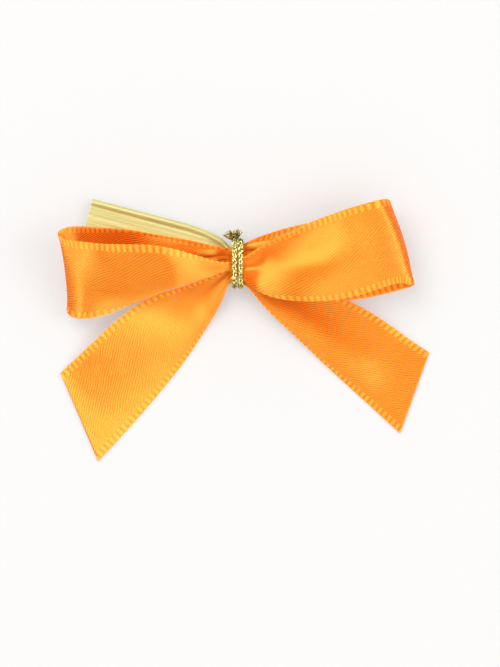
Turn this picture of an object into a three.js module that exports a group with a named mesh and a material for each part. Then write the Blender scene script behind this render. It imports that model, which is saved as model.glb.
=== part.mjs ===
// A ready-tied gift bow of satin ribbon, lying on its back: two loops and two tails, bound at the
// waist by two turns of metallic cord, which also hold a flat wired twist tie across the back.
// Millimetres. +X runs to the bow's right, +Y to its top, and +Z out of its front.
import * as THREE from "three";

// ---- driving dimensions ----
const GATHER_X = 1.45; // half the gathered length inside the cord
const LEAVE_X = 1.75; // where each loop and tail begins, just past the cord

const CORD_RADIUS = 0.53;
const CORD_TURN_X = { left: -0.68, right: 0.6 };
const CORD_OVAL = { y: -0.08, z: 3.21, halfHeight: 3.83, halfDepth: 2.68, power: 3.2 };
const CORD_STEPS = 40;
const CORD_SIDES = 8;
const KNOT_RADIUS = 0.58;
const KNOT_CENTER = [-0.55, 4.72, 1.75];

const TIE_BASE_Z = 1.2;
const TIE_REACH = 26.6; // from the middle of the bow to the tip of each arm
const TIE_BEND = 13.25; // where each arm is hinged half way
const TIE_GAP = 0.15; // half the gap between two links of an arm
const FILM = 0.15;
const FILM_GAP = 0.04;
const WIRE_RADIUS = 0.2;
const WIRE_INSET = 0.55; // from the edge of the tie to the middle of a wire
const CHANNEL = [[0.42, 0], [0.28, 0.3], [0, 0.44], [-0.28, 0.3], [-0.42, 0]];
const TIE_HEART_Y = 0.3;
const ARM_ANGLE = { left: 180 - 14.7, right: 11.5 };

const COLORS = {
  ribbon: { color: 0xff8a1e, roughness: 0.38, metalness: 0 },
  cord: { color: 0xc9a13a, roughness: 0.35, metalness: 0.8 },
  film: { color: 0xd8c878, roughness: 0.3, metalness: 0.6 },
  wire: { color: 0x9a9a98, roughness: 0.4, metalness: 1 },
};

// The ribbon's run, as stations: [upper edge], [lower edge], thickness.
const LEFT_LOOP = [
  [[-1.75, -0.1, 4.95], [-1.75, -1.3, 4.35], 0.7],
  [[-4.0, 0.3, 6.6], [-4.0, -1.9, 3.9], 0.6],
  [[-8.0, 1.5, 9.6], [-8.0, -3.35, 4.1], 0.5],
  [[-13.0, 2.75, 11.6], [-13.0, -5.2, 4.1], 0.4],
  [[-18.0, 3.0, 12.6], [-18.0, -7.0, 4.2], 0.4],
  [[-23.4, 3.2, 12.9], [-23.0, -9.0, 4.4], 0.4],
  [[-27.8, 3.65, 12.5], [-26.9, -9.4, 4.7], 0.4],
  [[-30.1, 4.1, 11.7], [-28.8, -8.9, 3.9], 0.4],
  [[-30.8, 4.8, 10.6], [-29.3, -7.9, 2.6], 0.4],
  [[-30.1, 5.6, 9.5], [-28.7, -6.9, 1.2], 0.4],
  [[-28.2, 6.05, 8.8], [-27.0, -6.4, 0.55], 0.4],
  [[-23.4, 5.95, 8.8], [-23.0, -6.2, 0.4], 0.4],
  [[-18.0, 5.4, 8.2], [-18.0, -5.3, 0.75], 0.4],
  [[-13.0, 4.55, 7.0], [-13.0, -4.0, 1.4], 0.4],
  [[-8.0, 3.7, 5.3], [-8.0, -2.2, 2.45], 0.5],
  [[-4.0, 2.85, 3.7], [-4.0, -0.4, 2.65], 0.6],
  [[-1.75, 2.3, 2.55], [-1.75, 0.2, 2.5], 0.8],
];
const RIGHT_LOOP = [
  [[1.75, 1.0, 4.75], [1.75, -2.6, 4.35], 0.7],
  [[4.2, 2.9, 6.4], [4.0, -4.9, 5.8], 0.6],
  [[8.5, 5.0, 7.6], [8.5, -6.3, 7.2], 0.4],
  [[12.3, 6.8, 8.2], [13.5, -6.5, 7.9], 0.4],
  [[17.0, 8.6, 8.4], [19.6, -5.8, 8.2], 0.4],
  [[21.6, 10.0, 8.4], [25.2, -4.0, 8.2], 0.4],
  [[24.6, 10.75, 7.6], [28.9, -3.3, 7.4], 0.4],
  [[25.8, 11.0, 5.7], [30.2, -3.9, 5.5], 0.4],
  [[24.6, 10.6, 3.8], [29.0, -4.6, 3.6], 0.4],
  [[21.6, 9.5, 3.0], [25.2, -5.4, 2.9], 0.4],
  [[17.0, 8.0, 2.9], [19.6, -6.3, 2.9], 0.4],
  [[12.3, 6.7, 2.9], [13.5, -6.0, 3.0], 0.4],
  [[8.5, 5.8, 3.0], [8.5, -4.2, 3.3], 0.4],
  [[4.2, 4.5, 3.2], [4.0, -1.4, 3.5], 0.6],
  [[1.75, 3.0, 3.4], [1.75, 0.9, 3.4], 0.8],
];
const LEFT_TAIL = [
  [[-1.75, -1.1, 3.4], [-1.75, -3.0, 3.4], 0.8],
  [[-4.4, -2.2, 2.9], [-2.9, -4.9, 2.6], 0.6],
  [[-8.5, -3.75, 2.6], [-4.2, -8.0, 2.1], 0.4],
  [[-14.1, -5.6, 2.5], [-5.9, -11.9, 1.6], 0.4],
  [[-20.6, -9.6, 1.9], [-9.2, -16.8, 1.2], 0.4],
  [[-25.4, -14.2, 1.2], [-14.1, -23.0, 0.7], 0.4],
  [[-28.3, -16.9, 0.7], [-18.9, -28.5, 0.4], 0.4],
  [[-30.3, -18.7, 0.24], [-23.8, -33.9, 0.24], 0.4],
];
const RIGHT_TAIL = [
  [[1.75, -1.2, 2.5], [1.75, -3.0, 2.5], 0.8],
  [[4.0, -2.2, 2.3], [3.0, -4.8, 2.1], 0.6],
  [[6.9, -3.1, 2.2], [4.6, -7.2, 1.8], 0.4],
  [[12.5, -4.2, 1.9], [8.4, -11.1, 1.5], 0.4],
  [[18.8, -6.4, 1.5], [13.0, -15.4, 1.1], 0.4],
  [[24.1, -9.3, 1.0], [17.6, -19.8, 0.8], 0.4],
  [[29.9, -13.4, 0.5], [23.4, -25.1, 0.4], 0.4],
  [[32.7, -15.2, 0.24], [27.7, -29.1, 0.24], 0.4],
];

// How far the tie's edges stand from its middle line, by distance from the bow's middle.
const TIE_UPPER_EDGE = [[0, 1.7], [1.6, 1.9], [3.5, 3.1], [6.5, 3.75], [9.5, 4], [TIE_REACH, 4]];
const TIE_LOWER_EDGE = [[0, 1.5], [1.6, 1.4], [4, 2.2], [6.5, 3.2], [9.5, 4], [TIE_REACH, 4]];

// ---- solids ----

// Closes rows of matching top and bottom points, one row per step along the piece, into a solid.
function slab(rows) {
  const across = rows[0].top.length;
  const ring = 2 * across;
  const points = rows.flatMap(({ top, bottom }) => [...top, ...[...bottom].reverse()]);
  const index = [];
  const quad = (a, b, c, d) => index.push(a, b, c, a, c, d);
  for (let row = 0; row + 1 < rows.length; row++) {
    for (let i = 0; i < ring; i++) {
      const j = (i + 1) % ring;
      const here = row * ring;
      quad(here + i, here + j, here + ring + j, here + ring + i);
    }
  }
  const last = (rows.length - 1) * ring;
  for (let i = 0; i + 1 < across; i++) {
    quad(i, ring - 1 - i, ring - 2 - i, i + 1);
    quad(last + i, last + i + 1, last + ring - 2 - i, last + ring - 1 - i);
  }
  return facingOut(points, index);
}

// Indexed triangles as a geometry whose faces point out of it.
function facingOut(points, index) {
  let volume = 0;
  for (let i = 0; i < index.length; i += 3) {
    const [a, b, c] = [points[index[i]], points[index[i + 1]], points[index[i + 2]]];
    volume += a.dot(new THREE.Vector3().crossVectors(b, c));
  }
  if (volume < 0) index.reverse();
  return new THREE.BufferGeometry().setFromPoints(points).setIndex(index);
}

const vector = ([x, y, z]) => new THREE.Vector3(x, y, z);

// A ribbon through its stations, with its real thickness across the mid surface.
function ribbonSolid(stations, { across = 6, stepsPerSpan = 3 } = {}) {
  const upper = new THREE.CatmullRomCurve3(stations.map(([u]) => vector(u)), false, "catmullrom", 0.5);
  const lower = new THREE.CatmullRomCurve3(stations.map(([, l]) => vector(l)), false, "catmullrom", 0.5);
  const steps = (stations.length - 1) * stepsPerSpan;
  const thicknessAt = (step) => {
    const span = Math.min(Math.floor(step / stepsPerSpan), stations.length - 2);
    const share = step / stepsPerSpan - span;
    return THREE.MathUtils.lerp(stations[span][2], stations[span + 1][2], share);
  };
  const grid = [];
  for (let step = 0; step <= steps; step++) {
    const [u, l] = [upper.getPoint(step / steps), lower.getPoint(step / steps)];
    grid.push(Array.from({ length: across + 1 }, (_, i) => u.clone().lerp(l, i / across)));
  }
  const rows = grid.map((line, step) => {
    const before = grid[Math.max(step - 1, 0)];
    const after = grid[Math.min(step + 1, steps)];
    const widthways = line[across].clone().sub(line[0]);
    const offsets = line.map((_, i) => after[i].clone().sub(before[i]).cross(widthways)
      .setLength(thicknessAt(step) / 2));
    return {
      top: line.map((point, i) => point.clone().add(offsets[i])),
      bottom: line.map((point, i) => point.clone().sub(offsets[i])),
    };
  });
  return slab(rows);
}

// One gathered pass of the ribbon under the cord, from its left section to its right section.
function passSolid(left, right) {
  const at = ([upper, lower, thickness], x) => [[x, upper[1], upper[2]], [x, lower[1], lower[2]], thickness];
  return ribbonSolid([at(left, -GATHER_X), at(right, GATHER_X)], { across: 3, stepsPerSpan: 4 });
}

// One closed turn of cord round the waist.
function cordTurn(x) {
  const { y, z, halfHeight, halfDepth, power } = CORD_OVAL;
  const bulge = (value) => Math.sign(value) * Math.abs(value) ** (2 / power);
  const points = [];
  for (let step = 0; step < CORD_STEPS; step++) {
    const angle = (2 * Math.PI * step) / CORD_STEPS;
    points.push(new THREE.Vector3(
      x, y + halfHeight * bulge(Math.cos(angle)), z + halfDepth * bulge(Math.sin(angle)),
    ));
  }
  const path = new THREE.CatmullRomCurve3(points, true);
  const rings = [];
  for (let step = 0; step < CORD_STEPS; step++) {
    const center = path.getPointAt(step / CORD_STEPS);
    const out = path.getTangentAt(step / CORD_STEPS).cross(new THREE.Vector3(1, 0, 0)).normalize();
    for (let side = 0; side < CORD_SIDES; side++) {
      const angle = (2 * Math.PI * side) / CORD_SIDES;
      rings.push(center.clone().addScaledVector(out, CORD_RADIUS * Math.cos(angle))
        .add(new THREE.Vector3(CORD_RADIUS * Math.sin(angle), 0, 0)));
    }
  }
  const index = [];
  for (let step = 0; step < CORD_STEPS; step++) {
    for (let side = 0; side < CORD_SIDES; side++) {
      const next = ((step + 1) % CORD_STEPS) * CORD_SIDES;
      const turn = (side + 1) % CORD_SIDES;
      const [a, b] = [step * CORD_SIDES + side, step * CORD_SIDES + turn];
      index.push(a, b, next + turn, a, next + turn, next + side);
    }
  }
  return facingOut(rings, index);
}

// A cut end of the cord, fanning out from the knot.
function cordEnd(lean) {
  const [bottomRadius, topRadius, length] = [0.3, 0.62, 1.5];
  return new THREE.CylinderGeometry(topRadius, bottomRadius, length, CORD_SIDES)
    .translate(0, length / 2, 0)
    .scale(1, 1, 0.6)
    .rotateX(THREE.MathUtils.degToRad(35))
    .rotateZ(THREE.MathUtils.degToRad(lean));
}

// Linear reading of a [distance, value] list.
function along(list, distance) {
  const next = Math.max(1, list.findIndex(([d]) => d >= distance));
  const [[d0, v0], [d1, v1]] = [list[next - 1], list[next]];
  return THREE.MathUtils.mapLinear(distance, d0, d1, v0, v1);
}

// The point of an arm a distance out from the heart, and off its middle line towards the bow's top.
function armPoint(side, distance, off, z) {
  const angle = THREE.MathUtils.degToRad(ARM_ANGLE[side]);
  const up = side === "left" ? -1 : 1;
  return new THREE.Vector3(
    distance * Math.cos(angle) - up * off * Math.sin(angle),
    TIE_HEART_Y + distance * Math.sin(angle) + up * off * Math.cos(angle),
    z,
  );
}

// The places along the tie where its pieces take a section.
function tieSections(from, to) {
  const marks = [1.6, 3.5, 5, 6.5, 8, 9.5].filter((mark) => mark > from && mark < to);
  return [from, ...marks, to];
}

const armStops = (side, from, to) => tieSections(from, to).map((distance) => ({ side, distance }));
const HEART_STOPS = [
  { side: "left", distance: GATHER_X },
  { side: "right", distance: GATHER_X },
];

// A film of the tie: flat at the back, or with a channel over each wire at the front.
function filmSolid(stops, isFront) {
  const base = isFront ? TIE_BASE_Z + FILM + FILM_GAP : TIE_BASE_Z;
  const rows = stops.map(({ side, distance }) => {
    const [upper, lower] = [along(TIE_UPPER_EDGE, distance), along(TIE_LOWER_EDGE, distance)];
    const channel = (middle, way) => CHANNEL.map(([off, height]) => [middle + way * off, height]);
    const profile = isFront
      ? [[upper, 0], ...channel(upper - WIRE_INSET, 1), ...channel(WIRE_INSET - lower, 1), [-lower, 0]]
      : [[upper, 0], [-lower, 0]];
    return {
      top: profile.map(([off, height]) => armPoint(side, distance, off, base + height + FILM)),
      bottom: profile.map(([off, height]) => armPoint(side, distance, off, base + height)),
    };
  });
  return slab(rows);
}

// A wire of the tie, following its upper or lower edge.
function wireSolid(stops, edge) {
  const z = TIE_BASE_Z + FILM + FILM_GAP + WIRE_RADIUS;
  const points = stops.map(({ side, distance }) => {
    const off = edge === "upper"
      ? along(TIE_UPPER_EDGE, distance) - WIRE_INSET
      : WIRE_INSET - along(TIE_LOWER_EDGE, distance);
    return armPoint(side, distance, off, z);
  });
  const path = new THREE.CurvePath();
  points.slice(1).forEach((point, i) => path.add(new THREE.LineCurve3(points[i], point)));
  const section = new THREE.Shape().absarc(0, 0, WIRE_RADIUS, 0, 2 * Math.PI);
  return new THREE.ExtrudeGeometry(section, {
    extrudePath: path, steps: 2 * (points.length - 1), curveSegments: CORD_SIDES,
  });
}

// ---- the bow ----
const bow = new THREE.Group();

function add(name, geometry, kind) {
  const mesh = new THREE.Mesh(geometry, new THREE.MeshStandardMaterial(COLORS[kind]));
  mesh.name = name;
  bow.add(mesh);
  return mesh;
}

function addTieLink(name, stops) {
  add(`${name}_front_film`, filmSolid(stops, true), "film");
  add(`${name}_back_film`, filmSolid(stops, false), "film");
  for (const edge of ["upper", "lower"]) add(`${name}_${edge}_wire`, wireSolid(stops, edge), "wire");
}

const start = (stations) => stations[0];
const finish = (stations) => stations[stations.length - 1];
add("left_loop", ribbonSolid(LEFT_LOOP), "ribbon");
add("right_loop", ribbonSolid(RIGHT_LOOP), "ribbon");
add("left_tail", ribbonSolid(LEFT_TAIL), "ribbon");
add("right_tail", ribbonSolid(RIGHT_TAIL), "ribbon");
add("waist_front_pass", passSolid(start(LEFT_LOOP), start(RIGHT_LOOP)), "ribbon");
add("waist_rising_pass", passSolid(start(LEFT_TAIL), finish(RIGHT_LOOP)), "ribbon");
add("waist_falling_pass", passSolid(finish(LEFT_LOOP), start(RIGHT_TAIL)), "ribbon");

for (const side of ["left", "right"]) add(`cord_turn_${side}`, cordTurn(CORD_TURN_X[side]), "cord");
const knot = add("cord_knot", new THREE.SphereGeometry(KNOT_RADIUS, 12, 8), "cord");
knot.position.set(...KNOT_CENTER);
const endLeft = add("cord_end_left", cordEnd(32), "cord");
endLeft.position.set(-0.95, 4.25, 2.65);
const endRight = add("cord_end_right", cordEnd(-8), "cord");
endRight.position.set(-0.2, 4.25, 2.65);

addTieLink("tie_heart", HEART_STOPS);
for (const side of ["left", "right"]) {
  addTieLink(`tie_${side}_inner`, armStops(side, LEAVE_X, TIE_BEND - TIE_GAP));
  addTieLink(`tie_${side}_outer`, armStops(side, TIE_BEND + TIE_GAP, TIE_REACH));
}

// The origin is under the middle of the whole bow, at the surface that it lies on.
const box = new THREE.Box3().setFromObject(bow, true);
const middle = box.getCenter(new THREE.Vector3());
bow.position.set(-middle.x, -middle.y, -box.min.z);

export default bow;
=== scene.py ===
"""A ready-tied satin gift bow on a white floor: its ribbon, its cord and its twist tie."""

import math

import bpy
import numpy as np
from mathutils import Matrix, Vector


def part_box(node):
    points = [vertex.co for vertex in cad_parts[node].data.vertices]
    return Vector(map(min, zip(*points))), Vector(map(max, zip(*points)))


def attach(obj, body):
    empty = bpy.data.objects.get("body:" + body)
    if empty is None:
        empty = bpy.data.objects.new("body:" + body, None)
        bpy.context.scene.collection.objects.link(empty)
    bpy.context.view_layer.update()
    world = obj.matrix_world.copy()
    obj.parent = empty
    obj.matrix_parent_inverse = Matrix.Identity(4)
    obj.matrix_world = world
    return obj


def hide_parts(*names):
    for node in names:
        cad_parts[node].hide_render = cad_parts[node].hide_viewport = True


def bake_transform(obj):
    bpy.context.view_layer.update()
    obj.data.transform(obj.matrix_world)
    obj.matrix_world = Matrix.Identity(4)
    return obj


MM = 0.001
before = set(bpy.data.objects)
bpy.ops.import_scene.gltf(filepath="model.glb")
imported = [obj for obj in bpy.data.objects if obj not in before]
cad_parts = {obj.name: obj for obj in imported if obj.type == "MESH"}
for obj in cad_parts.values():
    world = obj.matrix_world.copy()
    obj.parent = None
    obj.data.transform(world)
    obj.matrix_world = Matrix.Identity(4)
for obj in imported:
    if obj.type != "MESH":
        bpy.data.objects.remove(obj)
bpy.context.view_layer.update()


# ---- places, all from the frame ----

def node_middle(name):
    """The middle of a CAD node's box."""
    low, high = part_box(name)
    return (low + high) / 2


# The heart is the middle of the knot. Every place below is in millimetres from it, +x to the bow's right,
# +y to its top and z up from the floor. The frame gives it through the cord's left turn.
TURN_LEFT_X = -0.68
HEART_ABOVE_TURN = 0.08
left_turn = node_middle("cord_turn_left")
HEART = np.array([left_turn.x / MM - TURN_LEFT_X, left_turn.y / MM + HEART_ABOVE_TURN, 0.0])


def place(points):
    """Points in millimetres from the heart, as metres in the shared frame."""
    return (np.asarray(points, float) + HEART) * MM


# ---- materials' nodes ----

def new_material(name):
    material = bpy.data.materials.new(name)
    material.use_nodes = True
    return material, material.node_tree, material.node_tree.nodes["Principled BSDF"]


def feed(node, inputs):
    """Sets a node's inputs, each to a value or to what another node puts out."""
    for name, value in inputs.items():
        if isinstance(value, bpy.types.NodeSocket):
            node.id_data.links.new(value, node.inputs[name])
        else:
            node.inputs[name].default_value = value


def add_node(tree, kind, inputs, **settings):
    node = tree.nodes.new("ShaderNode" + kind)
    for setting, value in settings.items():
        setattr(node, setting, value)
    feed(node, inputs)
    return node


def calculated(tree, operation, *values):
    return add_node(tree, "Math", dict(enumerate(values)), operation=operation).outputs[0]


def times(tree, first, second):
    return calculated(tree, "MULTIPLY", first, second)


def plus(tree, first, second):
    return calculated(tree, "ADD", first, second)


def noise(tree, where, scale, detail, stretch=(1, 1, 1)):
    """A noise from 0 to 1. A larger stretch makes it finer along that axis."""
    stretched = add_node(tree, "Mapping", {"Vector": where, "Scale": stretch}).outputs[0]
    inputs = {"Vector": stretched, "Scale": scale, "Detail": detail}
    return add_node(tree, "TexNoise", inputs).outputs["Fac"]


def mixed(tree, factor, first, second):
    """The first colour where the factor is 0, and the second where it is 1."""
    colors = {"Factor": factor, "A": first, "B": second}
    return add_node(tree, "Mix", colors, data_type="RGBA").outputs["Result"]


def share_between(tree, value, start, end, interpolation="SMOOTHSTEP"):
    """0 where the value is at the start or short of it, and 1 where it is at the end or past it."""
    inputs = {"Value": value, "From Min": start, "From Max": end}
    return add_node(tree, "MapRange", inputs, interpolation_type=interpolation).outputs[0]


def bumped(tree, height, strength, depth):
    """The shading normal over a fine relief of a depth in millimetres."""
    inputs = {"Strength": strength, "Distance": depth * MM, "Height": height}
    return add_node(tree, "Bump", inputs).outputs[0]


# ---- camera, floor and light ----

VIEW_WIDTH = 85.0
VIEW_ASPECT = 667 / 500
VIEW_HEIGHT = VIEW_WIDTH * VIEW_ASPECT
CAMERA_HEIGHT = 900.0
CAMERA_OVER = (2.1, -12.0)
LOOK_HEIGHT = 4.0

FLOOR_RADIUS = 1500.0
COVE_RADIUS = 600.0
COVE_RINGS = 24
FLOOR_SIDES = 96

LIGHTS_AIM = (0, -5, 3)
LIGHT_DISTANCE = 2200
# name, azimuth from the bow's right round to its top, elevation, size in millimetres, watts, whether it
# is a panel that shows only in the sheen
LIGHTS = (
    ("key", 125, 55, (1500, 1500), 30, False),
    ("fill_right", 0, 45, (1200, 1200), 14, False),
    ("shine_left", 140, 45, (750, 750), 105, True),
    ("shine_right", 8, 34, (450, 1000), 100, True),
    ("shine_below", 311, 45, (1100, 1100), 82, True),
    ("shine_lower_left", 236, 45, (900, 900), 50, True),
)
SKY_COLOR = (1.0, 0.99, 0.985, 1)
SKY_STRENGTH = 1.08


def make_camera():
    """Straight above the bow, and far enough off to see it nearly without perspective."""
    data = bpy.data.cameras.new("camera")
    data.sensor_fit = "VERTICAL"
    data.angle = 2 * math.atan(VIEW_HEIGHT / 2 / (CAMERA_HEIGHT - LOOK_HEIGHT))
    camera = bpy.data.objects.new("camera", data)
    bpy.context.scene.collection.objects.link(camera)
    camera.location = place([*CAMERA_OVER, CAMERA_HEIGHT])
    bpy.context.scene.camera = camera


def floor_material():
    """White, with the slight glow of a light table, which keeps the shadows on it pale."""
    material, _, shader = new_material("floor")
    feed(shader, {
        "Base Color": (0.36, 0.358, 0.355, 1),
        "Emission Color": (1.0, 0.99, 0.98, 1),
        "Emission Strength": 0.35,
        "Roughness": 0.7,
        "Specular IOR Level": 0.1,
    })
    return material


def make_floor():
    """A round floor that curves up into a low wall all round, so that no view shows its end."""
    sweep = np.linspace(0, math.pi / 2, COVE_RINGS)
    radius = np.concatenate([[0], FLOOR_RADIUS + COVE_RADIUS * np.sin(sweep)])
    height = np.concatenate([[0], COVE_RADIUS * (1 - np.cos(sweep))])
    turn = np.linspace(0, 2 * math.pi, FLOOR_SIDES, endpoint=False)
    x = radius[:, None] * np.cos(turn)
    y = radius[:, None] * np.sin(turn)
    points = np.stack([x, y, np.broadcast_to(height[:, None], x.shape)], axis=-1).reshape(-1, 3)
    quads = grid_faces(len(radius), len(turn), close=True)
    mesh_object("floor", points, quads, floor_material())


def area_light(name, azimuth, elevation, size, watts, only_sheen):
    """A soft box aimed at the bow."""
    data = bpy.data.lights.new(name, "AREA")
    data.shape = "RECTANGLE"
    data.size, data.size_y = size[0] * MM, size[1] * MM
    data.energy = watts
    light = bpy.data.objects.new(name, data)
    bpy.context.scene.collection.objects.link(light)
    turn, rise = math.radians(azimuth), math.radians(elevation)
    out = Vector((math.cos(turn) * math.cos(rise), math.sin(turn) * math.cos(rise), math.sin(rise)))
    light.location = Vector(place(LIGHTS_AIM)) + out * LIGHT_DISTANCE * MM
    light.rotation_euler = (-out).to_track_quat("-Z", "Y").to_euler()
    light.visible_diffuse = not only_sheen


def make_lights():
    for light in LIGHTS:
        area_light(*light)
    world = bpy.data.worlds.new("studio")
    bpy.context.scene.world = world
    world.use_nodes = True
    feed(world.node_tree.nodes["Background"], {"Color": SKY_COLOR, "Strength": SKY_STRENGTH})
    bpy.context.scene.view_settings.view_transform = "Standard"


# ---- curves and meshes ----

SHORTEST = 1e-9


def spline(values, knots, at):
    """A natural cubic spline through values at knots, read at the given places."""
    values, gaps = np.asarray(values, float), np.diff(knots)
    count = len(knots)
    system, right = np.eye(count), np.zeros_like(values)
    for i in range(1, count - 1):
        system[i, i - 1:i + 2] = gaps[i - 1], 2 * (gaps[i - 1] + gaps[i]), gaps[i]
        rise_after = (values[i + 1] - values[i]) / gaps[i]
        rise_before = (values[i] - values[i - 1]) / gaps[i - 1]
        right[i] = 3 * (rise_after - rise_before)
    bend = np.linalg.solve(system, right)
    k = np.clip(np.searchsorted(knots, at, side="right") - 1, 0, count - 2)
    t, gap = (at - knots[k])[:, None], gaps[k][:, None]
    slope = (values[k + 1] - values[k]) / gap - gap * (2 * bend[k] + bend[k + 1]) / 3
    return values[k] + slope * t + bend[k] * t**2 + (bend[k + 1] - bend[k]) / (3 * gap) * t**3


def unit(vectors):
    return vectors / np.maximum(np.linalg.norm(vectors, axis=-1, keepdims=True), SHORTEST)


def distances(points):
    """How far along a line of points each one is."""
    steps = np.linalg.norm(np.diff(points, axis=0), axis=1)
    return np.concatenate([[0], np.cumsum(steps)])


def grid_faces(rows, cols, first=0, flip=False, close=False):
    """The quads of a grid of vertices, rows by cols, numbered from first. With close, its last column
    is joined to its first."""
    across = cols if close else cols - 1
    r, c = np.meshgrid(np.arange(rows - 1), np.arange(across), indexing="ij")
    a = first + r * cols + c
    b = first + r * cols + (c + 1) % cols
    quads = np.stack([a, b, b + cols, a + cols], axis=-1).reshape(-1, 4)
    return quads[:, ::-1] if flip else quads


def mesh_object(name, points, quads, material, uv=None, flat=0):
    """A mesh of quads in millimetres from the heart, with an optional UV for each vertex. Its first
    quads, flat of them, are shaded flat, and the rest smooth."""
    mesh = bpy.data.meshes.new(name)
    mesh.from_pydata(place(points), [], quads.tolist())
    mesh.polygons.foreach_set("use_smooth", np.arange(len(quads)) >= flat)
    if uv is not None:
        layer = mesh.uv_layers.new(name="weave")
        loops = np.empty(len(mesh.loops), np.int32)
        mesh.loops.foreach_get("vertex_index", loops)
        layer.data.foreach_set("uv", np.asarray(uv, np.float32)[loops].ravel())
    mesh.materials.append(material)
    mesh.validate()
    made = bpy.data.objects.new(name, mesh)
    bpy.context.scene.collection.objects.link(made)
    return made


def closed_sheet(front, back, front_uv, back_uv):
    """The two faces of a sheet, given as grids of points, closed by a thin wall round their edge."""
    rows, cols = front.shape[:2]
    count = rows * cols
    ids = np.arange(count).reshape(rows, cols)
    border = np.concatenate([ids[0, :], ids[1:, -1], ids[-1, -2::-1], ids[-2:0:-1, 0]])
    after = np.roll(border, -1)
    walls = np.column_stack([border, after, after + count, border + count])
    points = np.concatenate([front.reshape(-1, 3), back.reshape(-1, 3)])
    uv = np.concatenate([front_uv.reshape(-1, 2), back_uv.reshape(-1, 2)])
    quads = np.concatenate([walls, grid_faces(rows, cols, flip=True), grid_faces(rows, cols, count)])
    return points, quads, uv, len(walls)


# ---- ribbon ----

RIBBON_WIDTH = 15.0
RIBBON_HALF_THICKNESS = 0.12
# about the least height of its middle surface over the floor
FLOOR_GAP = 0.14

# how finely it is worked out: rows along it, points across a section, and trials of how far that folds
ROW_STEP = 0.2
SPINE_STEPS = 400
SMOOTH_ROWS = 6
SECTION_SAMPLES = 121
HALVINGS = 30

# the selvedges: beads along the rim, and a finer row of stitches inside them
BEAD_PITCH = 1.0
BEAD_AT, BEAD_REACH, BEAD_RELIEF = 0.42, 0.3, 0.085
ROW_AT, ROW_REACH, ROW_RELIEF = 1.08, 0.14, 0.05
RIM_SHARE, RIM_REACH = 0.45, 0.25
SCALLOP = 0.05
SELVEDGE_COLUMNS = np.array([0, 0.1, 0.25, 0.42, 0.6, 0.78, 0.92, 1.05, 1.18, 1.32])
SATIN_FROM = 1.55
SATIN_COLUMNS = 34

# the left loop's fold is drawn in between its two edges
FOLD_X = -27.0
FOLD_EASE = 0.8
FOLD_DRAWN_IN = 1.4
FOLD_ROUNDNESS = 0.8


def section_modes(t):
    """The ways that the ribbon's width gathers: how far each one turns the surface when it is fully
    folded, in radians, at a share t of the way from its upper edge to its lower edge."""
    arch = 2.0 * np.cos(math.pi * t)
    roll = 0.8 - 4.2 * t**1.6
    valley = 1.9 * np.cos(2 * math.pi * t + 2.95)
    pleats = 2.0 * np.cos(5 * math.pi * t + 0.6)
    fine = 2.0 * np.cos(13 * math.pi * t + 1.9) * (0.3 + 0.7 * t)
    return np.array([arch, roll, valley, pleats, fine])


# A station is: upper edge x, y; lower edge x, y; height of the middle; tilt in degrees, upper edge
# up; then the most that each mode may fold there: arch, roll, valley, pleats, fine.
# The first PLACE_VALUES of these say where it is.
PLACE_VALUES = 6

# the three passes through the cord: over the front, and two behind it, which rise and fall to the right
FRONT_PASS = (0.0, 0.5, 0.0, -1.8, 4.7, 10, 0.0, 1.0, 0.2, 0.0, 0.0)
RISING_PASS = (0.0, 2.3, 0.0, -2.3, 3.4, 0, 0.0, 0.0, 0.0, 0.4, 0.8)
FALLING_PASS = (0.0, 2.1, 0.0, -2.5, 2.5, 0, 0.0, 0.0, 0.0, 0.4, 0.8)

LEFT_LOOP = [
    FRONT_PASS,
    (-1.5, 0.0, -1.5, -1.2, 5.0, 40, 0.0, 1.0, 0.0, 0.0, 0.0),
    (-4.0, 0.35, -4.0, -1.95, 6.1, 40, 0.0, 1.0, 0.0, 0.0, 0.0),
    (-8.0, 1.5, -8.0, -3.35, 7.7, 38, 0.0, 1.0, 0.0, 0.0, 0.0),
    (-13.0, 2.75, -13.0, -5.2, 8.5, 37, 0.1, 1.0, 0.0, 0.0, 0.0),
    (-18.0, 3.0, -18.0, -7.0, 8.65, 36, 0.4, 0.8, 0.0, 0.0, 0.0),
    (-23.4, 3.2, -23.0, -9.0, 8.65, 35.4, 0.9, 0.3, 0.0, 0.0, 0.0),
    (-26.6, 3.5, -26.0, -9.45, 8.5, 30.2, 1.0, 0.0, 0.0, 0.0, 0.0),
    (-29.4, 3.95, -28.5, -9.15, 7.85, 29.0, 1.0, 0.0, 0.0, 0.0, 0.0),
    (-30.8, 4.8, -29.5, -8.1, 6.6, 30.5, 1.0, 0.0, 0.0, 0.0, 0.0),
    (-30.1, 5.6, -28.7, -7.2, 5.35, 29, 1.0, 0.0, 0.0, 0.0, 0.0),
    (-28.2, 6.05, -27.0, -7.2, 4.7, 24, 1.0, 0.0, 0.0, 0.0, 0.0),
    (-23.4, 5.95, -23.0, -6.9, 4.5, 19, 1.0, 0.0, 0.0, 0.1, 0.0),
    (-18.0, 5.4, -18.0, -5.0, 4.4, 13, 0.7, 0.0, 0.0, 0.3, 0.0),
    (-13.0, 4.6, -13.0, -4.2, 4.4, 9, 0.3, 0.0, 0.0, 0.7, 0.0),
    (-8.0, 3.75, -8.0, -2.2, 4.0, 7, 0.0, 0.0, 0.0, 0.9, 0.1),
    (-4.0, 2.9, -4.0, -0.4, 3.4, 4, 0.0, 0.0, 0.0, 0.8, 0.4),
    (-1.5, 2.3, -1.5, 0.2, 2.6, 0, 0.0, 0.0, 0.0, 0.5, 0.7),
    FALLING_PASS,
]
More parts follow.
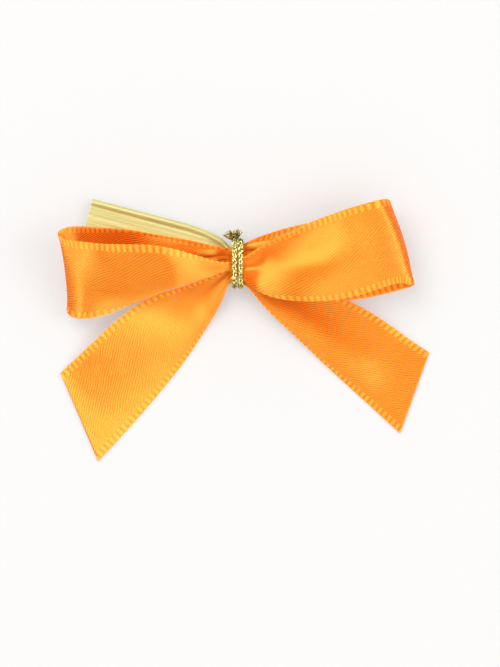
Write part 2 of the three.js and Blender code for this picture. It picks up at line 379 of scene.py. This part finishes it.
RIGHT_LOOP = [
    FRONT_PASS,
    (1.5, 1.1, 1.5, -3.1, 5.3, 6, 0.0, 0.0, 0.75, 0.2, 0.2),
    (4.2, 2.9, 4.0, -4.95, 6.3, 3, 0.0, 0.0, 0.8, 0.1, 0.05),
    (8.5, 5.0, 8.5, -6.3, 7.65, 1, 0.0, 0.0, 0.85, 0.0, 0.0),
    (12.3, 6.8, 13.5, -6.5, 8.2, 4, 0.1, 0.0, 0.85, 0.0, 0.0),
    (17.0, 8.6, 19.6, -5.8, 8.35, 7, 0.7, 0.0, 0.4, 0.0, 0.0),
    (21.4, 9.95, 25.0, -4.05, 8.3, 7, 1.0, 0.0, 0.0, 0.0, 0.0),
    (24.8, 10.8, 29.2, -3.35, 7.6, 5, 1.0, 0.0, 0.0, 0.0, 0.0),
    (25.8, 11.0, 30.2, -3.9, 5.6, 1, 1.0, 0.0, 0.0, 0.0, 0.0),
    (24.6, 10.6, 29.0, -4.6, 3.75, 1, 1.0, 0.0, 0.0, 0.0, 0.0),
    (21.6, 9.5, 25.2, -5.4, 3.0, 0, 1.0, 0.0, 0.0, 0.0, 0.0),
    (17.0, 8.2, 19.6, -6.3, 2.95, 0, 0.6, 0.0, 0.3, 0.2, 0.0),
    (12.3, 6.95, 13.5, -6.0, 3.0, 0, 0.1, 0.0, 0.4, 0.6, 0.0),
    (8.5, 6.0, 8.5, -4.2, 3.15, 0, 0.0, 0.0, 0.3, 0.7, 0.1),
    (4.2, 4.65, 4.0, -1.4, 3.35, 0, 0.0, 0.0, 0.2, 0.8, 0.3),
    (1.5, 3.3, 1.5, 0.9, 3.4, 0, 0.0, 0.0, 0.0, 0.5, 0.6),
    RISING_PASS,
]
LEFT_TAIL = [
    RISING_PASS,
    (-1.5, -0.9, -1.5, -3.3, 3.4, 0, 0.0, 0.2, 0.3, 0.5, 0.3),
    (-4.4, -2.2, -2.4, -5.4, 3.2, 2, 0.0, 0.4, 0.3, 0.25, 0.0),
    (-8.5, -3.75, -4.2, -8.8, 2.45, 2, 0.0, 0.4, 0.15, 0.0, 0.0),
    (-14.1, -5.5, -6.6, -12.9, 1.75, 2, 0.0, 0.3, 0.05, 0.0, 0.0),
    (-20.6, -9.7, -9.9, -17.8, 1.15, 1, 0.0, 0.2, 0.0, 0.0, 0.0),
    (-25.4, -14.2, -14.6, -23.6, 0.75, 1, 0.0, 0.1, 0.0, 0.0, 0.0),
    (-28.3, -16.9, -18.9, -28.5, 0.48, 0, 0.0, 0.04, 0.0, 0.0, 0.0),
    (-30.3, -18.7, -23.8, -33.9, 0.25, 0, 0.0, 0.0, 0.0, 0.0, 0.0),
]
RIGHT_TAIL = [
    FALLING_PASS,
    (1.5, -1.2, 1.5, -3.7, 2.5, 0, 0.0, 0.0, 0.2, 0.4, 0.4),
    (4.6, -2.2, 3.0, -5.5, 2.3, 2, 0.0, 0.0, 0.4, 0.3, 0.0),
    (7.6, -3.0, 5.0, -7.8, 2.1, 2, 0.0, 0.0, 0.5, 0.15, 0.0),
    (13.2, -4.3, 8.4, -11.1, 1.8, 2, 0.0, 0.1, 0.5, 0.0, 0.0),
    (18.8, -6.4, 13.0, -15.4, 1.4, 2, 0.0, 0.2, 0.45, 0.0, 0.0),
    (24.1, -9.3, 17.6, -19.8, 0.95, 1, 0.0, 0.15, 0.2, 0.0, 0.0),
    (29.9, -13.4, 23.4, -25.1, 0.5, 0, 0.0, 0.03, 0.03, 0.0, 0.0),
    (32.7, -15.2, 27.7, -29.1, 0.25, 0, 0.0, 0.0, 0.0, 0.0, 0.0),
]

# body, stations, outward, CAD nodes that it stands for; outward is 1 where the stations run to the left and
# -1 where they run to the right, so that the folds' outward side faces the front on the first layer
RIBBON_PIECES = (
    ("left_loop", LEFT_LOOP, 1, ("left_loop", "waist_front_pass", "waist_falling_pass")),
    ("right_loop", RIGHT_LOOP, -1, ("right_loop",)),
    ("left_tail", LEFT_TAIL, 1, ("left_tail", "waist_rising_pass")),
    ("right_tail", RIGHT_TAIL, -1, ("right_tail",)),
)


def ribbon_frame(stations):
    """Reads the stations at even steps: the places, the modes' shares and the length so far."""
    table = np.array(stations, float)
    upper, lower, height = table[:, 0:2], table[:, 2:4], table[:, 4:5]
    middles = np.hstack([(upper + lower) / 2, height])
    knots = distances(middles)
    dense = np.linspace(0, knots[-1], SPINE_STEPS)
    line_length = distances(spline(middles, knots, dense))
    count = int(round(line_length[-1] / ROW_STEP)) + 1
    length = np.linspace(0, line_length[-1], count)
    at = np.interp(length, line_length, dense)
    places = spline(table[:, :PLACE_VALUES], knots, at)
    shares = np.column_stack([np.interp(at, knots, column) for column in table[:, PLACE_VALUES:].T])
    return places, shares, length


def folded(wave, amount):
    """A section's full width, turned by an amount of its wave: how far each point is along the chord
    and out of it."""
    step = RIBBON_WIDTH / (SECTION_SAMPLES - 1)
    angle = amount[:, None] * wave
    run, rise = np.cos(angle), np.sin(angle)
    run = np.cumsum((run[:, 1:] + run[:, :-1]) / 2, axis=1) * step
    rise = np.cumsum((rise[:, 1:] + rise[:, :-1]) / 2, axis=1) * step
    run = np.pad(run, ((0, 0), (1, 0)))
    rise = np.pad(rise, ((0, 0), (1, 0)))
    return run, rise - rise.mean(axis=1, keepdims=True)


def gathered_section(wave, target, plan_run, plan_rise):
    """Folds each row's straight width by its wave until its extent in plan is the target, and
    squeezes what is still too wide. Each millimetre along the chord is plan_run in plan, and each
    one out of it is plan_rise.
    Returns positions along the chord and out of it, for SECTION_SAMPLES points across."""

    def in_plan(run, rise):
        return run * plan_run[:, None] + rise * plan_rise[:, None]

    low, high = np.zeros(len(target)), np.ones(len(target))
    for _ in range(HALVINGS):
        middle = (low + high) / 2
        wide = np.ptp(in_plan(*folded(wave, middle)), axis=1) > target
        low, high = np.where(wide, middle, low), np.where(wide, high, middle)
    run, rise = folded(wave, low)
    plan = in_plan(run, rise)
    center = (plan.max(axis=1) + plan.min(axis=1)) / 2
    squeeze = np.minimum(1, target / np.ptp(plan, axis=1))[:, None]
    return (run - (center / plan_run)[:, None]) * squeeze, rise * squeeze


def smoothed(rows):
    """Evens out the change from row to row, over about SMOOTH_ROWS rows either way."""
    reach = np.arange(-3 * SMOOTH_ROWS, 3 * SMOOTH_ROWS + 1)
    kernel = np.exp(-((reach / SMOOTH_ROWS) ** 2) / 2)
    padded = np.pad(rows, ((len(reach) // 2, len(reach) // 2), (0, 0)), mode="edge")
    return sum(weight * padded[i:i + len(rows)] for i, weight in enumerate(kernel / kernel.sum()))


def ribbon_columns():
    """Places across the ribbon, close together in the selvedges."""
    satin = np.linspace(SATIN_FROM, RIBBON_WIDTH - SATIN_FROM, SATIN_COLUMNS)
    return np.concatenate([SELVEDGE_COLUMNS, satin, RIBBON_WIDTH - SELVEDGE_COLUMNS[::-1]])


def drawn_in(points, width):
    """How far points move to the right, where they are at the left fold."""
    past_fold = (points[..., 0].max(axis=1, keepdims=True) - FOLD_X) / FOLD_EASE
    between_edges = np.sin(math.pi * width / RIBBON_WIDTH) ** FOLD_ROUNDNESS
    return FOLD_DRAWN_IN * between_edges / (1 + np.exp(past_fold))


def ribbon_surface(stations, outward):
    """The ribbon's middle surface, as a grid of points, with its weave's place at each of them."""
    places, shares, length = ribbon_frame(stations)
    upper, lower, height, tilt = places[:, 0:2], places[:, 2:4], places[:, 4], np.radians(places[:, 5])
    middle = np.column_stack([(upper + lower) / 2, height])
    plan = lower - upper
    plan_way = np.column_stack([unit(plan), np.zeros(len(plan))])
    chord = plan_way * np.cos(tilt)[:, None]
    chord[:, 2] = -np.sin(tilt)
    along = unit(np.gradient(middle, axis=0))
    out = unit(np.cross(along, chord)) * outward

    # a section cut aslant is longer than the ribbon is wide
    slant = np.sum(along * chord, axis=1)
    stretch = 1 / np.sqrt(1 - slant**2)
    t = np.linspace(0, 1, SECTION_SAMPLES)
    wave = smoothed(shares) @ section_modes(t)
    target = np.linalg.norm(plan, axis=1)
    section = gathered_section(wave, target, np.cos(tilt) * stretch, np.sum(out * plan_way, axis=1))

    width = ribbon_columns()
    run, rise = [
        smoothed(np.array([np.interp(width, t * RIBBON_WIDTH, row) for row in rows])) for rows in section
    ]
    run = run * stretch[:, None]
    points = middle[:, None] + run[..., None] * chord[:, None] + rise[..., None] * out[:, None]
    points[..., 2] += smoothed(np.maximum(0, FLOOR_GAP - points[..., 2].min(axis=1))[:, None])
    # only the left side has a fold that is drawn in
    if outward > 0:
        points[..., 0] += drawn_in(points, width)
    return points, length, length[:, None] + run * slant[:, None], width


def ridge(from_edge, at, reach):
    """1 at a place in from the ribbon's edge, and falling off smoothly to either side."""
    return np.exp(-(((from_edge - at) / reach) ** 2))


def selvedge_relief(along, from_edge):
    """How much thicker the woven edge is than the satin."""
    turn = 2 * math.pi * along / BEAD_PITCH
    bead = ridge(from_edge, BEAD_AT, BEAD_REACH) * (0.55 + 0.45 * np.cos(turn))
    row = ridge(from_edge, ROW_AT, ROW_REACH) * (0.5 + 0.5 * np.cos(2 * turn))
    return BEAD_RELIEF * bead + ROW_RELIEF * row


def ribbon_piece(name, stations, outward, material):
    """A length of ribbon with its thickness and selvedges, and how long it is."""
    points, length, along, width = ribbon_surface(stations, outward)
    down = np.gradient(points, axis=0)
    side = np.gradient(points, axis=1)
    normal = unit(np.cross(down, side))
    from_edge = np.minimum(width, RIBBON_WIDTH - width)[None, :]
    rim = np.clip(RIM_SHARE + from_edge / RIM_REACH, 0, 1)
    half = (RIBBON_HALF_THICKNESS + selvedge_relief(along, from_edge)) * rim
    scallop = SCALLOP * np.cos(2 * math.pi * along / BEAD_PITCH)[..., None] * unit(side)
    points[:, 0] -= scallop[:, 0]
    points[:, -1] += scallop[:, -1]
    front = points + normal * half[..., None]
    back = points - normal * half[..., None]
    across = np.broadcast_to(width, along.shape)
    # the twill leans the same way on both faces, each seen from its own side
    faces = (across, RIBBON_WIDTH - across)[::outward]
    front_uv, back_uv = [np.stack([-outward * along, face], axis=-1) for face in faces]
    every, quads, uv, walls = closed_sheet(front, back, front_uv, back_uv)
    return mesh_object(name, every, quads, material, uv, walls), length[-1]


# the twill's lines to a millimetre along and across the ribbon, and how many lines they wander by
TWILL_ALONG = 1.25
TWILL_ACROSS = 2.05
TWILL_WANDER = 1.6
TWILL_RELIEF = 0.17
FIBRE_STRETCH = (1.2, 9.0, 1)
FIBRE_RELIEF = 0.5
WEAVE_DEPTH = 0.07
SATIN_ROUGHNESS, FIBRE_ROUGHNESS, EDGE_ROUGHNESS = 0.50, 0.08, 0.1
# how far in from the rim: where the woven edge ends and the satin begins, and where the painted shade in
# the gaps between the beads begins and is at its full depth
EDGE_ENDS, SATIN_BEGINS = 1.2, 1.4
GAPS_BEGIN, GAPS_FULL = 0.12, 0.4
# the painted shade in the gaps between the beads, and the painted highlight on their crowns
GAP_SHARPNESS, GAP_SHADE_DARKNESS = 4.5, 0.9
BEAD_SHARPNESS, BEAD_HIGHLIGHT_SHARE = 2.0, 0.5

SATIN_COLOR = (0.97, 0.135, 0.001, 1)
SATIN_REDDER = (0.96, 0.104, 0.0005, 1)
# SATIN_DARK paints the shade in the gaps between the beads and also draws the twill's dark lines; the bead
# colour is a painted highlight on the beads' crowns
SATIN_DARK = (0.24, 0.04, 0.0, 1)
BEAD_HIGHLIGHT_COLOR = (1.0, 0.40, 0.06, 1)


def satin_finish(tree, shader):
    """The sheen of threads that all lie one way, the light that a thin weave lets through, and a painted
    orange glow that lifts the shade.
    """
    tangent = add_node(tree, "Tangent", {}, direction_type="UV_MAP", uv_map="weave")
    feed(shader, {
        "Tangent": tangent.outputs[0],
        "Anisotropic": 0.97,
        "Anisotropic Rotation": 0.25,
        "Specular IOR Level": 1.0,
        "IOR": 1.55,
        "Specular Tint": (1.0, 0.80, 0.13, 1),
        "Subsurface Weight": 0.6,
        "Subsurface Radius": (1.0, 0.3, 0.05),
        "Subsurface Scale": 0.8 * MM,
        # painted glow: the emission lifts the satin's shade, though the ribbon gives no light of its own
        "Emission Color": (1.0, 0.30, 0.01, 1),
        "Emission Strength": 0.13,
        "Sheen Weight": 0.02,
        "Sheen Roughness": 0.4,
        "Sheen Tint": (1.0, 0.5, 0.15, 1),
    })


def satin_material():
    """Orange satin with a twill, between woven edges with a bead every BEAD_PITCH."""
    material, tree, shader = new_material("satin")
    weave = add_node(tree, "UVMap", {}, uv_map="weave").outputs["UV"]
    along, across = add_node(tree, "SeparateXYZ", {0: weave}).outputs[:2]
    fibre = noise(tree, weave, scale=1.0, detail=3, stretch=FIBRE_STRETCH)
    cloud = noise(tree, weave, scale=0.22, detail=3)
    wander = noise(tree, weave, scale=0.35, detail=2)

    # the twill's lines, from -1 to 1
    slant = plus(tree, times(tree, along, TWILL_ALONG), times(tree, across, TWILL_ACROSS))
    slant = plus(tree, slant, times(tree, wander, TWILL_WANDER))
    twill = calculated(tree, "SINE", times(tree, slant, 2 * math.pi))

    # the woven edge: 1 in it and 0 on the satin, with beads that are 1 in their middles
    middle = RIBBON_WIDTH / 2
    from_middle = calculated(tree, "ABSOLUTE", calculated(tree, "SUBTRACT", across, middle))
    edge = share_between(tree, from_middle, middle - SATIN_BEGINS, middle - EDGE_ENDS)
    inside_rim = share_between(tree, from_middle, middle - GAPS_BEGIN, middle - GAPS_FULL)
    bead_turn = calculated(tree, "COSINE", times(tree, along, 2 * math.pi / BEAD_PITCH))
    bead = times(tree, plus(tree, bead_turn, 1.0), 0.5)
    gap = calculated(tree, "POWER", calculated(tree, "SUBTRACT", 1.0, bead), GAP_SHARPNESS)
    gap = times(tree, gap, times(tree, edge, inside_rim))
    crown_highlight = times(tree, calculated(tree, "POWER", bead, BEAD_SHARPNESS), edge)

    # painted shade in the gaps between the beads, dark along the twill's lines, and a painted highlight on
    # the beads' crowns
    lines = times(tree, times(tree, plus(tree, twill, 1.0), 0.5), calculated(tree, "SUBTRACT", 1.0, edge))
    darkness = plus(tree, times(tree, gap, GAP_SHADE_DARKNESS), lines)
    color = mixed(tree, cloud, SATIN_COLOR, SATIN_REDDER)
    color = mixed(tree, darkness, color, SATIN_DARK)
    color = mixed(tree, times(tree, crown_highlight, BEAD_HIGHLIGHT_SHARE), color, BEAD_HIGHLIGHT_COLOR)

    roughness = plus(tree, times(tree, fibre, FIBRE_ROUGHNESS), SATIN_ROUGHNESS)
    roughness = plus(tree, roughness, times(tree, edge, EDGE_ROUGHNESS))
    relief = plus(tree, times(tree, twill, TWILL_RELIEF), times(tree, fibre, FIBRE_RELIEF))
    normal = bumped(tree, relief, strength=1.0, depth=WEAVE_DEPTH)
    feed(shader, {"Base Color": color, "Roughness": roughness, "Normal": normal})
    satin_finish(tree, shader)
    return material


def make_ribbon():
    satin = satin_material()
    for body, stations, outward, nodes in RIBBON_PIECES:
        piece, length = ribbon_piece("ribbon_" + body, stations, outward, satin)
        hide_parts(*nodes)
        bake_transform(piece)


# ---- cord ----

# one turn's middle line: a rounded box round the waist
CORD_OVAL_Y, CORD_OVAL_Z = -HEART_ABOVE_TURN, 3.21
CORD_HALF_HEIGHT, CORD_HALF_DEPTH = 3.83, 2.68
CORD_POWER = 3.2
CORD_TURN_X = (-0.55, 0.5)
CORD_TURN_POINTS = 400

# the braid: strands that wind each way round a core, once in every lay
CORD_LAY = 3.3
STRANDS_EACH_WAY = 3
STRAND_PATH_RADIUS = 0.28
STRAND_WEAVE = 0.08
STRAND_RADIUS = 0.15
STRAND_SIDES = 6
STRAND_STEP = 0.055
CORE_RADIUS = 0.24
CORE_SIDES = 10
CORE_EVERY = 4
# specks of painted glitter to a millimetre
SPECKS = 4.2

# the knot: a small loop of the same braid, at a smaller scale
KNOT_CENTER = (-0.5, 4.62, 1.9)
KNOT_HALF_SIZE = (0.42, 0.21, 0.357)
KNOT_POINTS = 120
KNOT_SCALE = 0.85

# each frayed end: its base, and how many degrees it leans to the left
FRAYED_ENDS = (((-0.95, 4.0, 2.75), 38), ((-0.2, 4.0, 2.75), -6))
FRAYED_FIBRES = 42
FRAY_SEED = 7
FRAY_RISE = 35
FRAY_LIFT = 0.7
FRAY_FLARE = 1.4
# how far a fan of fibres spreads sideways and forward, where it starts and at its tips
ROOT_SPREAD = (0.22, 0.2)
TIP_SPREAD = (0.75, 0.45)
FIBRE_LENGTH = (1.3, 2.0)
FIBRE_RADIUS = (0.045, 0.075)
FIBRE_CURL = 0.25
FIBRE_POINTS = 7
FIBRE_SIDES = 5
TIP_SHARE = 0.2


def tube(path, radius, sides, closed=False):
    """A round tube along a line of points, as vertices and quads. An open one ends in a narrow tip."""
    tangent = unit(np.gradient(path, axis=0))
    if closed:
        tangent = unit(np.roll(path, -1, axis=0) - np.roll(path, 1, axis=0))
    helper = np.where(np.abs(tangent[:, :1]) < 0.9, [[1.0, 0, 0]], [[0, 1.0, 0]])
    first = unit(np.cross(tangent, helper))
    second = np.cross(tangent, first)
    turn = np.linspace(0, 2 * math.pi, sides, endpoint=False)
    radii = np.broadcast_to(radius, len(path)).copy()
    if not closed:
        radii[[0, -1]] *= TIP_SHARE
    ring = np.cos(turn)[None, :, None] * first[:, None] + np.sin(turn)[None, :, None] * second[:, None]
    points = (path[:, None] + ring * radii[:, None, None]).reshape(-1, 3)
    quads = grid_faces(len(path), sides, close=True)
    if closed:
        last = (len(path) - 1) * sides
        side = np.arange(sides)
        after = (side + 1) % sides
        quads = np.concatenate([quads, np.column_stack([last + side, last + after, after, side])])
    return points, quads


def joined(parts):
    """Several (vertices, quads) as one."""
    firsts = np.cumsum([0] + [len(points) for points, _ in parts[:-1]])
    quads = [faces + first for (_, faces), first in zip(parts, firsts)]
    return np.concatenate([points for points, _ in parts]), np.concatenate(quads)


def braid(path, scale=1.0):
    """A closed round braid along a path: strands that wind each way, over and under each other, and the
    core that they hide, whose dark colour is painted shade between the strands."""
    loop = np.vstack([path, path[:1]])
    length = distances(loop)
    turns = max(1, round(length[-1] / (CORD_LAY * scale)))
    at = np.linspace(0, length[-1], int(length[-1] / STRAND_STEP), endpoint=False)
    line = np.column_stack([np.interp(at, length, loop[:, axis]) for axis in range(3)])
    tangent = unit(np.roll(line, -1, axis=0) - np.roll(line, 1, axis=0))
    inward = unit(line.mean(axis=0) - line)
    side = unit(np.cross(tangent, inward))
    up = np.cross(side, tangent)
    phase = 2 * math.pi * turns * at / length[-1]
    parts = []
    for way in (1, -1):
        reach = (STRAND_PATH_RADIUS + way * STRAND_WEAVE * np.cos(STRANDS_EACH_WAY * phase)) * scale
        for strand in range(STRANDS_EACH_WAY):
            angle = way * phase + 2 * math.pi * strand / STRANDS_EACH_WAY
            off = np.cos(angle)[:, None] * up + np.sin(angle)[:, None] * side
            strand_line = line + off * reach[:, None]
            parts.append(tube(strand_line, STRAND_RADIUS * scale, STRAND_SIDES, closed=True))
    core = tube(line[::CORE_EVERY], CORE_RADIUS * scale, CORE_SIDES, closed=True)
    return joined(parts), core


def cord_turn_path(x):
    """The middle of one turn of cord."""
    angle = np.linspace(0, 2 * math.pi, CORD_TURN_POINTS, endpoint=False)

    def bulge(value):
        return np.sign(value) * np.abs(value) ** (2 / CORD_POWER)

    y = CORD_OVAL_Y + CORD_HALF_HEIGHT * bulge(np.cos(angle))
    z = CORD_OVAL_Z + CORD_HALF_DEPTH * bulge(np.sin(angle))
    return np.column_stack([np.full(len(angle), x), y, z])


def knot_path():
    """The middle of the knot's small loop, whose top leans forward."""
    angle = np.linspace(0, 2 * math.pi, KNOT_POINTS, endpoint=False)
    loop = np.column_stack([np.cos(angle), np.sin(angle), np.sin(angle)])
    return np.array(KNOT_CENTER) + KNOT_HALF_SIZE * loop


def frayed_end(base, lean, rng):
    """The cut end of the cord, its fibres sprung apart into a fan."""
    fibres = []
    lean, rise = math.radians(lean), math.radians(FRAY_RISE)
    axis = np.array([-math.sin(lean) * math.cos(rise), math.cos(lean) * math.cos(rise), math.sin(rise)])
    across = unit(np.cross(axis, [0, 0, 1]))
    up = np.cross(across, axis)
    t = np.linspace(0, 1, FIBRE_POINTS)[:, None]
    for _ in range(FRAYED_FIBRES):
        fan, lift = rng.uniform(-1, 1), rng.uniform(-FRAY_LIFT, FRAY_LIFT)
        length = rng.uniform(*FIBRE_LENGTH)
        root = np.array(base) + across * fan * ROOT_SPREAD[0] + up * lift * ROOT_SPREAD[1]
        spread = across * fan * TIP_SPREAD[0] + up * lift * TIP_SPREAD[1]
        curl = rng.uniform(-FIBRE_CURL, FIBRE_CURL, 3)
        line = root + axis * t * length + spread * t**FRAY_FLARE + curl * np.sin(3 * t) * t
        fibres.append(tube(line, rng.uniform(*FIBRE_RADIUS), FIBRE_SIDES))
    return joined(fibres)


def gold_material():
    """Metallic thread with painted glitter: bright glints and dark specks painted into its colour, each
    smaller than a strand.
    """
    material, tree, shader = new_material("gold_thread")
    where = add_node(tree, "NewGeometry", {}).outputs["Position"]
    specks = noise(tree, where, scale=SPECKS / MM, detail=2)
    specks = share_between(tree, specks, 0.42, 0.62, "LINEAR")
    color = mixed(tree, specks, (0.03, 0.025, 0.002, 1), (0.62, 0.52, 0.16, 1))
    feed(shader, {"Base Color": color, "Metallic": 0.8, "Roughness": 0.48})
    return material


def shade_core_material():
    material, _, shader = new_material("cord_shade_core")
    # near black: painted shade that shows in the gaps between the strands
    feed(shader, {"Base Color": (0.05, 0.038, 0.004, 1), "Roughness": 0.7})
    return material


def make_cord():
    rng = np.random.default_rng(FRAY_SEED)
    gold = gold_material()
    braids = [braid(cord_turn_path(x)) for x in CORD_TURN_X] + [braid(knot_path(), KNOT_SCALE)]
    ends = [frayed_end(base, lean, rng) for base, lean in FRAYED_ENDS]
    strands = mesh_object("cord_braid", *joined([strands for strands, _ in braids] + ends), gold)
    core = mesh_object("cord_shade_core", *joined([core for _, core in braids]), shade_core_material())
    for piece in (strands, core):
        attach(piece, "waist")
    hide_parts("cord_turn_left", "cord_turn_right", "cord_knot", "cord_end_left", "cord_end_right")


# ---- twist tie ----

# places along an arm, as distances out from the heart; it leaves the cord and bends at the CAD's joints
TIE_REACH = 26.6
TIE_SPLIT = 7.5
TIE_EDGE_AT = (0, 1.6, 3.5, 6.5, 9.5, TIE_REACH)
TIE_UPPER_EDGE = (1.7, 1.9, 3.1, 3.75, 4.0, 4.0)
TIE_LOWER_EDGE = (1.5, 1.4, 2.0, 3.2, 4.0, 4.0)
TIE_LEAVE = 1.75
TIE_BEND = 13.25
TIE_INNER_BEND = (TIE_LEAVE - 0.7, TIE_LEAVE + 0.9)
TIE_OUTER_BEND = (TIE_BEND - 0.9, TIE_BEND + 0.9)
TIE_STEP = 0.3
TIE_END_STEP = 0.02

TIE_WIDTH = 8.0
TIE_BASE_Z = 1.2
TIE_HEART_Y = 0.3
TIE_ANGLE = {"left": 180 - 14.7, "right": 11.5}
TURNED_IN = 0.45
TURNED_IN_BY = 3
FILM = 0.15
FILM_GAP = 0.04

WIRE_RADIUS = 0.19
WIRE_ABOVE_FILM = 0.2
WIRE_SIDES = 10
WIRE_INSET = 0.55
CHANNEL_HEIGHT = 0.32
CHANNEL_REACH = 0.7
CHANNEL_FULLNESS = 0.8

# the films' columns, as shares of the width: close together over a wire, and wider between the wires
OVER_WIRE = np.linspace(0, 0.14, 15)
BETWEEN_WIRES = np.linspace(0.155, 0.845, 34)
# creases between the wires: height, how many radians across the tie and to a millimetre along it, start
CREASES = ((0.45, 31, 0.16, 0), (0.35, 57, -0.1, 1.3), (0.3, 93, 0.22, 0.5))
CREASE_MIDDLE = 0.8
CREASE_DEPTH = 0.02
GATHER_DEPTH = 0.09
GATHER_REACH = 8
WEB_REACH = 0.4
WEB_EASE = 0.08
STREAK_STRETCH = (0.06, 3.2, 1)
STREAK_DEPTH = 0.05


def tie_place(side, distance, off, z):
    """Points a distance out along an arm, and off its middle line towards the bow's top."""
    angle = math.radians(TIE_ANGLE[side])
    up = -1 if side == "left" else 1
    x = distance * math.cos(angle) - up * off * math.sin(angle)
    y = TIE_HEART_Y + distance * math.sin(angle) + up * off * math.cos(angle)
    return np.stack(np.broadcast_arrays(x, y, z), axis=-1)


def tie_edges(side, distance):
    """The tie's upper and lower edges, off its middle line. The right arm's upper edge is turned in."""
    upper = np.interp(distance, TIE_EDGE_AT, TIE_UPPER_EDGE)
    if side == "right":
        upper = upper - TURNED_IN * np.clip(distance / TURNED_IN_BY, 0, 1)
    lower = np.interp(distance, TIE_EDGE_AT, TIE_LOWER_EDGE)
    return upper, -lower


def film_height(share, distance, upper, lower):
    """How far the front film stands off the back one: a channel over each wire, and shallow creases."""
    off = lower + share * (upper - lower)
    height = np.zeros(np.broadcast_shapes(off.shape, distance.shape))
    for wire in (upper - WIRE_INSET, lower + WIRE_INSET):
        reach = np.clip(np.abs(off - wire) / CHANNEL_REACH, 0, 1)
        height += CHANNEL_HEIGHT * (0.5 + 0.5 * np.cos(math.pi * reach)) ** CHANNEL_FULLNESS
    web = np.clip((WEB_REACH - np.abs(share - 0.5)) / WEB_EASE, 0, 1)
    waves = sum(
        tall * np.sin(across * share + along * distance + start)
        for tall, across, along, start in CREASES
    )
    gathers = np.clip((GATHER_REACH - distance) / GATHER_REACH, 0, 1) * GATHER_DEPTH
    return height + web * (CREASE_DEPTH + gathers) * (waves + CREASE_MIDDLE)


def film_piece(name, side, start, end, is_front, material):
    """One film of a stretch of the tie. It has a narrow row at each end, which keeps its shading true."""
    inside = np.arange(start + TIE_STEP, end - TIE_STEP / 2, TIE_STEP)
    distance = np.concatenate([[start, start + TIE_END_STEP], inside, [end - TIE_END_STEP, end]])[:, None]
    upper, lower = tie_edges(side, distance)
    share = np.concatenate([OVER_WIRE, BETWEEN_WIRES, 1 - OVER_WIRE[::-1]])[None, :]
    off = lower + share * (upper - lower)
    base = TIE_BASE_Z + (FILM + FILM_GAP if is_front else 0)
    height = film_height(share, distance, upper, lower) if is_front else np.zeros_like(off)
    top = tie_place(side, distance, off, base + height + FILM)
    bottom = tie_place(side, distance, off, base + height)
    uv = np.stack(np.broadcast_arrays(distance, (share - 0.5) * TIE_WIDTH), axis=-1)
    points, quads, uv, walls = closed_sheet(top, bottom, uv, uv)
    return mesh_object(name, points, quads if side == "left" else quads[:, ::-1], material, uv, walls)


def wire_piece(name, side, start, end, material):
    """Both wires of a stretch of the tie."""
    distance = np.arange(start, end + TIE_STEP / 2, TIE_STEP)
    distance[-1] = end
    upper, lower = tie_edges(side, distance)
    z = TIE_BASE_Z + FILM + FILM_GAP + WIRE_ABOVE_FILM
    lines = [tie_place(side, distance, off, z) for off in (upper - WIRE_INSET, lower + WIRE_INSET)]
    tubes = [tube(line, WIRE_RADIUS, WIRE_SIDES) for line in lines]
    return mesh_object(name, *joined(tubes), material)


def film_material():
    """Pale gold film, with fine creases along the tie and streaks of painted shade in their hollows."""
    material, tree, shader = new_material("gold_film")
    weave = add_node(tree, "UVMap", {}, uv_map="weave").outputs["UV"]
    creases_and_shade = noise(tree, weave, scale=1.0, detail=4, stretch=STREAK_STRETCH)
    feed(shader, {
        # the same noise makes the creases' relief and the colour: darker in their hollows, as painted shade
        "Base Color": mixed(tree, creases_and_shade, (0.27, 0.28, 0.08, 1), (0.68, 0.585, 0.225, 1)),
        "Normal": bumped(tree, creases_and_shade, strength=0.6, depth=STREAK_DEPTH),
        "Metallic": 0.25,
        "Roughness": 0.36,
    })
    return material


def wire_material():
    material, _, shader = new_material("wire")
    feed(shader, {"Base Color": (0.42, 0.41, 0.40, 1), "Metallic": 1.0, "Roughness": 0.35})
    return material


def tie_stretch(name, side, start, end, materials):
    """A stretch of an arm, from start to end: its two films and its wires."""
    gold, steel = materials
    front = film_piece(name + "_front_film", side, start, end, True, gold)
    back = film_piece(name + "_back_film", side, start, end, False, gold)
    wires = wire_piece(name + "_wires", side, start, end, steel)
    return front, back, wires


def replace_tie(links):
    """The pieces stand for all the nodes of some of the CAD tie's links."""
    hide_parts(*[link + "_front_film" for link in links])
    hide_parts(*[link + "_back_film" for link in links])
    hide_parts(*[f"{link}_{edge}_wire" for link in links for edge in ("upper", "lower")])


def bend_tie(pieces, side, bend):
    """Bakes each piece's place into its mesh. Where the bend begins and ends is worked out but not used."""
    start, end = [place(tie_place(side, distance, 0, TIE_BASE_Z)) for distance in bend]
    for piece in pieces:
        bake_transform(piece)


def make_tie():
    materials = film_material(), wire_material()
    for side in ("left", "right"):
        near = tie_stretch(f"tie_{side}_near", side, 0, TIE_SPLIT, materials)
        bend_tie(near, side, TIE_INNER_BEND)
        heart = ["tie_heart"] if side == "left" else []
        replace_tie([*heart, f"tie_{side}_inner"])
        far = tie_stretch(f"tie_{side}_far", side, TIE_SPLIT, TIE_REACH, materials)
        bend_tie(far, side, TIE_OUTER_BEND)
        replace_tie([f"tie_{side}_outer"])


make_camera()
make_floor()
make_lights()
make_ribbon()
make_cord()
make_tie()
